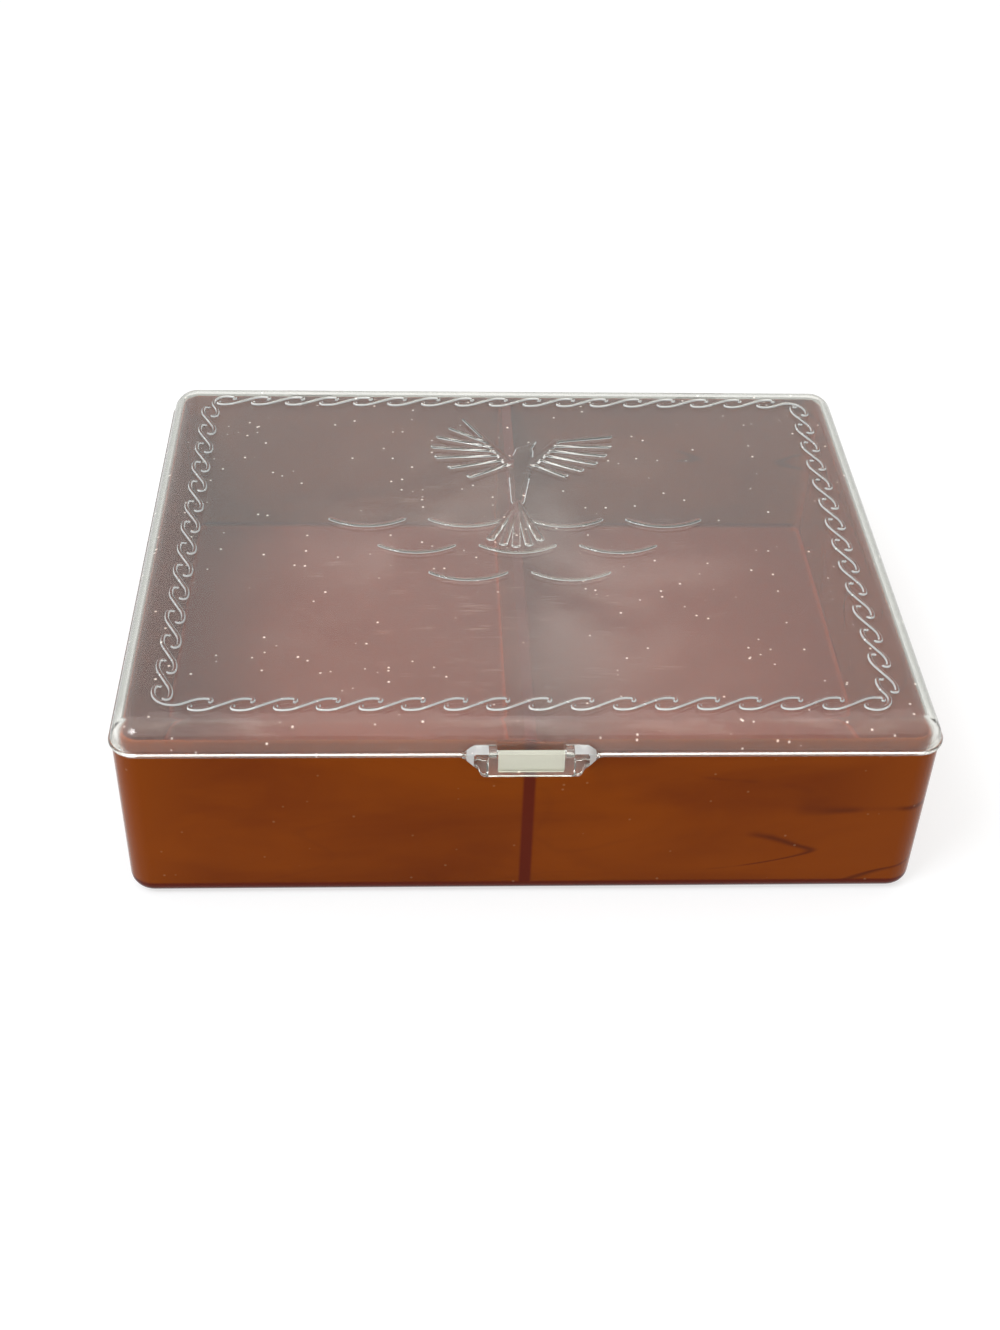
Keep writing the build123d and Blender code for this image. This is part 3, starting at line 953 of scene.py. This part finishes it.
ripples, given = new_tree(
    "ripples",
    {"Ripple": "Object", "Pitch": "Float", "Row Gap": "Float", "Front": "Float", **ridge_sockets},
)
ripple_ridge = ridges_of(ripples, given, "Ripple")
all_rows = add_node(ripples, "GeometryNodeJoinGeometry")
for row in range(ripple_rows):
    row_count = ripple_front_count + row
    row_left = maths(ripples, "MULTIPLY", given.outputs["Pitch"], (1 - row_count) / 2)
    row_place = add_node(
        ripples,
        "ShaderNodeMath",
        {0: given.outputs["Row Gap"], 1: row, 2: given.outputs["Front"]},
        operation="MULTIPLY_ADD",
    )
    row_start = add_node(
        ripples, "ShaderNodeCombineXYZ", {"X": row_left, "Y": row_place.outputs[0]}
    )
    row_offset = add_node(ripples, "ShaderNodeCombineXYZ", {"X": given.outputs["Pitch"]})
    places = add_node(
        ripples,
        "GeometryNodeMeshLine",
        {"Count": row_count, "Start Location": row_start.outputs[0], "Offset": row_offset.outputs[0]},
    )
    placed = add_node(
        ripples, "GeometryNodeInstanceOnPoints", {"Points": places.outputs[0], "Instance": ripple_ridge}
    )
    ripples.links.new(placed.outputs[0], all_rows.inputs[0])
end_tree(ripples, given, all_rows.outputs[0])

ripple_radius = (ripple_chord ** 2 / 4 + ripple_sag ** 2) / (2 * ripple_sag)
ripple_turn = 2 * math.degrees(math.asin(ripple_chord / 2 / ripple_radius))
ripple_points = walk((-ripple_chord / 2, 0), -ripple_turn / 2, (ripple_radius, ripple_turn))
ripple_line = drawn_lines("ripple", [[(*point, 1.0) for point in ripple_points]])
ripple_ridges = moulded(
    ripples,
    {
        "Ripple": ripple_line,
        "Pitch": ripple_pitch,
        "Row Gap": ripple_row_gap,
        "Front": ripple_front,
        "Half Width": ripple_half_width,
        **ridge_values,
    },
)
combine(lid, ripple_ridges, "UNION")

# Bird above the ripples: a plain flying bird with spread wings. Its body and arms are ridges, and
# its feathers are ridges that widen outwards, laid on one after the other where they overlap.
bird_breast = ((0.002, 0.029), 0.0034)
bird_rump = ((0.0008, 0.014), 0.0015)
bird_head = ((0.0034, 0.0362), 0.0021)
bird_beak_tip = ((0.0063, 0.0402), 0.0003)
bird_wings = {
    "left": ((-0.0005, 0.0305), (-0.006, 0.0415)),
    "right": ((0.005, 0.0305), (0.0115, 0.0405)),
}
bird_shoulder_radius = 0.0016
bird_wrist_radius = 0.001
bird_feather_tips = {
    "left": [
        (-0.0105, 0.0505), (-0.014, 0.0465), (-0.017, 0.0425), (-0.0184, 0.038), (-0.0176, 0.0335),
        (-0.0145, 0.029), (-0.01, 0.025),
    ],
    "right": [
        (0.0245, 0.043), (0.024, 0.0385), (0.0225, 0.0345), (0.02, 0.031), (0.0165, 0.028),
        (0.0125, 0.0255),
    ],
}
bird_tail_tips = [
    (-0.006, -0.001), (-0.0032, -0.003), (-0.0004, -0.0038), (0.0026, -0.0032), (0.0052, -0.0012),
]
bird_quill_radius = 0.0007
bird_feather_radius = 0.00105

strokes = []
for side, (shoulder, wrist) in bird_wings.items():
    tips = bird_feather_tips[side]
    for index, tip in enumerate(tips):
        root = Vector(wrist).lerp(Vector(shoulder), index / (len(tips) - 1))
        strokes.append(((root, bird_quill_radius), (tip, bird_feather_radius)))
for tip in bird_tail_tips:
    strokes.append(((bird_rump[0], bird_quill_radius), (tip, bird_feather_radius)))
for shoulder, wrist in bird_wings.values():
    strokes.append(((shoulder, bird_shoulder_radius), (wrist, bird_wrist_radius)))
strokes += [(bird_head, bird_beak_tip), (bird_breast, bird_head), (bird_breast, bird_rump)]

bird, given = new_tree("bird", {"Stroke": "Object", **ridge_sockets})
end_tree(bird, given, ridges_of(bird, given, "Stroke"))
for (start, start_radius), (end, end_radius) in strokes:
    start, end = Vector(start), Vector(end)
    course = (end - start).normalized()
    wide = max(start_radius, end_radius)
    first, last = start - course * start_radius, end + course * end_radius
    stroke_line = drawn_lines("stroke", [[(*first, start_radius / wide), (*last, end_radius / wide)]])
    bird_ridge = moulded(bird, {"Stroke": stroke_line, "Half Width": wide, **ridge_values})
    combine(lid, bird_ridge, "UNION")
    bpy.data.objects.remove(stroke_line)
for line in (wave_line, corner_lines, ripple_line):
    bpy.data.objects.remove(line)

# Clear polystyrene: glossy and almost colourless. Handling has left a rubbed haze on the middle of the
# top, scuffs along the front and back rolls, fine scratches, dull corners and specks of dust; the haze,
# scuffs and dust also glow faintly, which is painted light. The mould left the pad and the hook
# frosted.
# The ornament's steep sides and the tab's shoulders are a whitish satin, a painted highlight, and the
# skirt at the sides and back and faces seen at a slant are greyed, a painted shade.
clear_tint = (0.975, 0.97, 0.955)
clear_edge_on_shade = (0.42, 0.43, 0.4)
clear_gloss_tint = (0.54, 0.5, 0.48, 1.0)
clear_depth = {"Color": (0.8, 0.81, 0.74, 1.0), "Density": 140.0}
clear_shadow = (0.98, 0.98, 0.97, 1.0)
clear_marks = (0.8, 0.0, 1.0)
clear_worn = 0.5
edge_on_range = (0.82, 0.52)
pad_tint = (0.93, 0.92, 0.79)
side_grey_shade = (0.52, 0.53, 0.5)
side_depth = (0.0022, 0.0006)
side_front = (-0.055, -0.065)
scratch_wear = 0.3
corner_wear = 0.4
worn_corner = Vector((0.079, 0.0635, 0.0))
worn_corner_blur = Vector((0.002, 0.003, 0.0))
haze_glow_color = (0.066, 0.058, 0.053)
haze_middle = Vector((-0.003, -0.016, 0.0))
haze_reach = 0.075
haze_pattern = (24.0, 4.0, 0.6)
haze_range = (0.66, 0.4)
haze_scratches = 1.5
haze_least = 0.3
dust_glow_color = (0.75, 0.7, 0.62)
scuffed_edge = 0.0648
scuffed_reach = (0.0004, 0.0022)
edge_scuff_stretch = (0.25, 1.0, 1.0)
edge_scuff_pattern = (260.0, 4.0)
edge_scuff_range = (0.68, 0.45)


def clear_plastic(material, tint, roughness, transmission, haze_amount):
    """Fills a material as clear polystyrene, more or less frosted."""
    tree = empty_nodes(material)
    place = add_node(tree, "ShaderNodeTexCoord").outputs["Object"]
    spot = add_node(tree, "ShaderNodeSeparateXYZ", {"Vector": place})
    off_middle = maths(tree, "ABSOLUTE", spot.outputs["X"])
    off_centre = maths(tree, "ABSOLUTE", spot.outputs["Y"])
    wear = marked(tree, place, *clear_marks)
    corner, blur = worn_corner, worn_corner_blur
    at_side = band(tree, off_middle, corner.x + blur.x, corner.x - blur.x)
    at_end = band(tree, off_centre, corner.y + blur.y, corner.y - blur.y)
    at_corner = maths(tree, "MULTIPLY", maths(tree, "MULTIPLY", at_side, at_end), corner_wear)
    scratched = maths(tree, "MULTIPLY", wear["Scratches"], scratch_wear)
    dulled = maths(tree, "MAXIMUM", scratched, at_corner)
    flat_values = {"Vector": place, "Location": -haze_middle, "Scale": (1.0, 1.0, 0.0)}
    flat_place = add_node(tree, "ShaderNodeMapping", flat_values).outputs[0]
    off_haze = add_node(tree, "ShaderNodeVectorMath", {0: flat_place}, operation="LENGTH")
    haze = band(tree, off_haze.outputs["Value"], 0.0, haze_reach)
    haze = maths(tree, "MULTIPLY", haze, haze_amount)
    cloud = band(tree, noise(tree, place, *haze_pattern), *haze_range)
    scratched = maths(tree, "MULTIPLY", wear["Scratches"], haze_scratches)
    grain = maths(tree, "ADD", maths(tree, "ADD", cloud, scratched), haze_least)
    haze = maths(tree, "MULTIPLY", haze, grain)
    from_edge = maths(tree, "ABSOLUTE", maths(tree, "SUBTRACT", off_centre, scuffed_edge))
    streak = add_node(tree, "ShaderNodeMapping", {"Vector": place, "Scale": edge_scuff_stretch})
    scuffed = band(tree, noise(tree, streak.outputs[0], *edge_scuff_pattern), *edge_scuff_range)
    scuffed = maths(tree, "MULTIPLY", band(tree, from_edge, *scuffed_reach), scuffed)
    haze = maths(tree, "MAXIMUM", haze, maths(tree, "MULTIPLY", scuffed, haze_amount))
    # Painted light: the haze, the scuffs and the dust glow faintly in the emission, for the light they
    # scatter.
    wear_glow = mixed(tree, haze, (0.0, 0.0, 0.0), haze_glow_color)
    wear_glow = mixed(tree, wear["Dust"], wear_glow, dust_glow_color)
    # Painted shade: the skirt at the sides and back is greyed.
    low, high = [flat_top - depth for depth in side_depth]
    skirt_shade = band(tree, spot.outputs["Z"], low, high)
    beside = band(tree, spot.outputs["Y"], *side_front)
    skirt_shade = maths(tree, "MULTIPLY", maths(tree, "MULTIPLY", skirt_shade, beside), haze_amount)
    # Painted shade: faces seen at a slant turn grey.
    slant = add_node(tree, "ShaderNodeLayerWeight", {"Blend": 0.5})
    edge_on_shade = band(tree, slant.outputs["Facing"], *edge_on_range)
    tinted = mixed(tree, skirt_shade, tint, side_grey_shade)
    skin = add_node(
        tree,
        "ShaderNodeBsdfPrincipled",
        {
            "Base Color": mixed(tree, edge_on_shade, tinted, clear_edge_on_shade),
            "Roughness": ramp(tree, dulled, 0.0, 1.0, roughness, clear_worn),
            "IOR": polystyrene_ior,
            "Transmission Weight": transmission,
            "Specular Tint": clear_gloss_tint,
            "Emission Color": wear_glow,
            "Emission Strength": 1.0,
        },
    )
    passed = add_node(tree, "ShaderNodeBsdfTransparent", {"Color": clear_shadow})
    ray = add_node(tree, "ShaderNodeLightPath")
    surface = blended(tree, ray.outputs["Is Shadow Ray"], skin, passed)
    inside = add_node(tree, "ShaderNodeVolumeAbsorption", clear_depth)
    add_node(tree, "ShaderNodeOutputMaterial", {"Surface": surface, "Volume": inside.outputs[0]})


frosted = bpy.data.materials.new("frosted polystyrene")
highlight_satin = bpy.data.materials.new("satin polystyrene")
clear_plastic(clear, clear_tint, roughness=0.03, transmission=0.97, haze_amount=1.0)
clear_plastic(frosted, pad_tint, roughness=0.35, transmission=0.24, haze_amount=0.0)
clear_plastic(highlight_satin, clear_tint, roughness=0.25, transmission=0.58, haze_amount=0.0)
lid_mesh = lid.data
bpy.data.objects.remove(lid)
lid_mesh.materials.clear()
for material in (clear, frosted, highlight_satin):
    lid_mesh.materials.append(material)
clear_index, frosted_index, highlight_satin_index = range(3)
steep = 0.85
ledge_flat = 0.5
shoulder_turn = 0.3
shoulder_end = 0.0132
shoulder_low = 0.0382
for face in lid_mesh.polygons:
    x, y, z = face.center
    on_ornament = z > flat_top + ridge_foot and face.normal.z < steep
    on_pad = abs(y - tab_inner_y - pad_proud) < pad_proud and abs(x) < pad_half_width and z > pad_low
    on_hook = tab_inner_y + pad_proud < y < hook_reach + pad_proud
    on_hook = on_hook and abs(x) < pad_half_width and z < latch_hook_top + pad_proud
    on_side = abs(face.normal.x) > shoulder_turn and z > shoulder_low and face.normal.y < 0
    on_ledge = face.normal.z > ledge_flat and abs(x) > window_half_width and z > tab_top - tab_round
    on_shoulder = y < -half_depth - roll_radius and abs(x) < shoulder_end and (on_side or on_ledge)
    # Painted highlight: the ornament's steep sides and the tab's front-facing shoulders take the
    # whitish satin plastic.
    if on_ornament or on_shoulder:
        face.material_index = highlight_satin_index
    elif on_pad or on_hook:
        face.material_index = frosted_index
    else:
        face.material_index = clear_index
lid = finish_mesh("clear_lid", lid_mesh)
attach(lid, "lid")
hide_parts("lid")

# Hinge pins: two short lengths of drawn steel wire. They go in last, pressed into the tray's ears,
# and the lid's knuckles turn on them.
steel_color = (0.55, 0.55, 0.56, 1.0)
steel_stretch = (60.0, 4000.0, 4000.0)
steel_pattern = (1.0, 2.0)
steel_gloss = (0.22, 0.5)

steel = bpy.data.materials.new("drawn steel")
tree = empty_nodes(steel)
place = add_node(tree, "ShaderNodeTexCoord").outputs["Object"]
stretch = add_node(tree, "ShaderNodeMapping", {"Vector": place, "Scale": steel_stretch})
drawn = noise(tree, stretch.outputs[0], *steel_pattern)
steel_skin = add_node(
    tree,
    "ShaderNodeBsdfPrincipled",
    {
        "Base Color": steel_color,
        "Metallic": 1.0,
        "Roughness": ramp(tree, drawn, 0.0, 1.0, *steel_gloss),
    },
)
add_node(tree, "ShaderNodeOutputMaterial", {"Surface": steel_skin.outputs[0]})
for side in ("left", "right"):
    pin = frame["nodes"][f"hinge_pin_{side}"]
    pin.data.materials.clear()
    pin.data.materials.append(steel)
